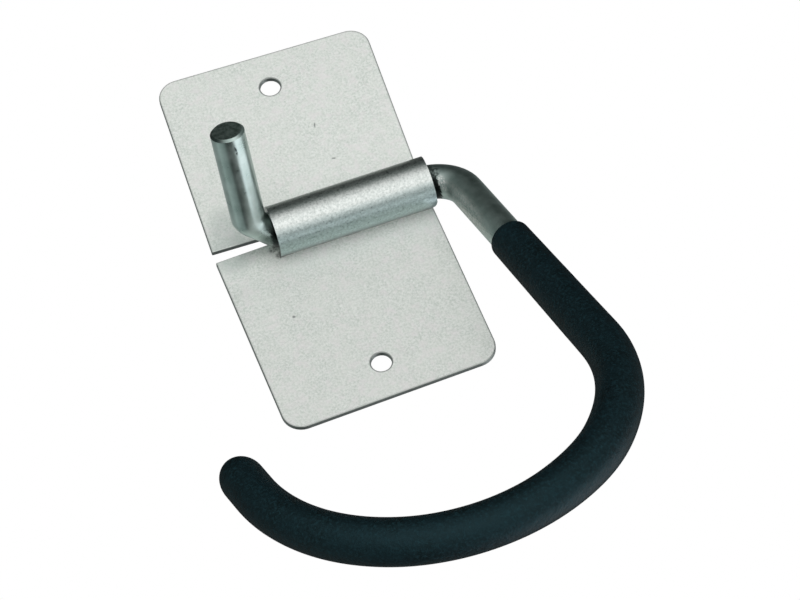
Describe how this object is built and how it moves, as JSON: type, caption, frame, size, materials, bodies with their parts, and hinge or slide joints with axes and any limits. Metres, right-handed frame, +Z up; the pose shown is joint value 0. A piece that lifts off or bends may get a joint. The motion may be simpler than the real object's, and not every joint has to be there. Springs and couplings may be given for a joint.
{
  "type": "bike storage hook",
  "caption": "Folding bike hook: a flat screw-on steel plate whose pressed barrel lets a bent rod turn, with a soft sleeve over its wide U-shaped hook and a short straight stub as a stop.",
  "frame": {"origin": "halfway between the two screw holes, on the back face that meets the wall", "axes": "+Y into the wall, -Y out of it to the front, +Z up the line of the screw holes, +X along the barrel to the side the hook's leg leaves from"},
  "size_m": [0.1192, 0.0721, 0.2125],
  "materials": {
    "galvanised_sheet": "matte, finely speckled galvanised",
    "zinc_plated_bar": "bright zinc plate, satin",
    "soft_vinyl": "matte"
  },
  "bodies": {
    "plate": {"wall_plate": "galvanised_sheet"},
    "hook": {"hook_rod": "zinc_plated_bar", "soft_sleeve": "soft_vinyl"}
  },
  "joints": [
    {"name": "hook_fold", "type": "hinge", "parent": "plate", "child": "hook", "pos_m": [0, -0.0067, -0.001], "axis": [-1, 0, 0], "range_deg": [-22, 67]}
  ]
}
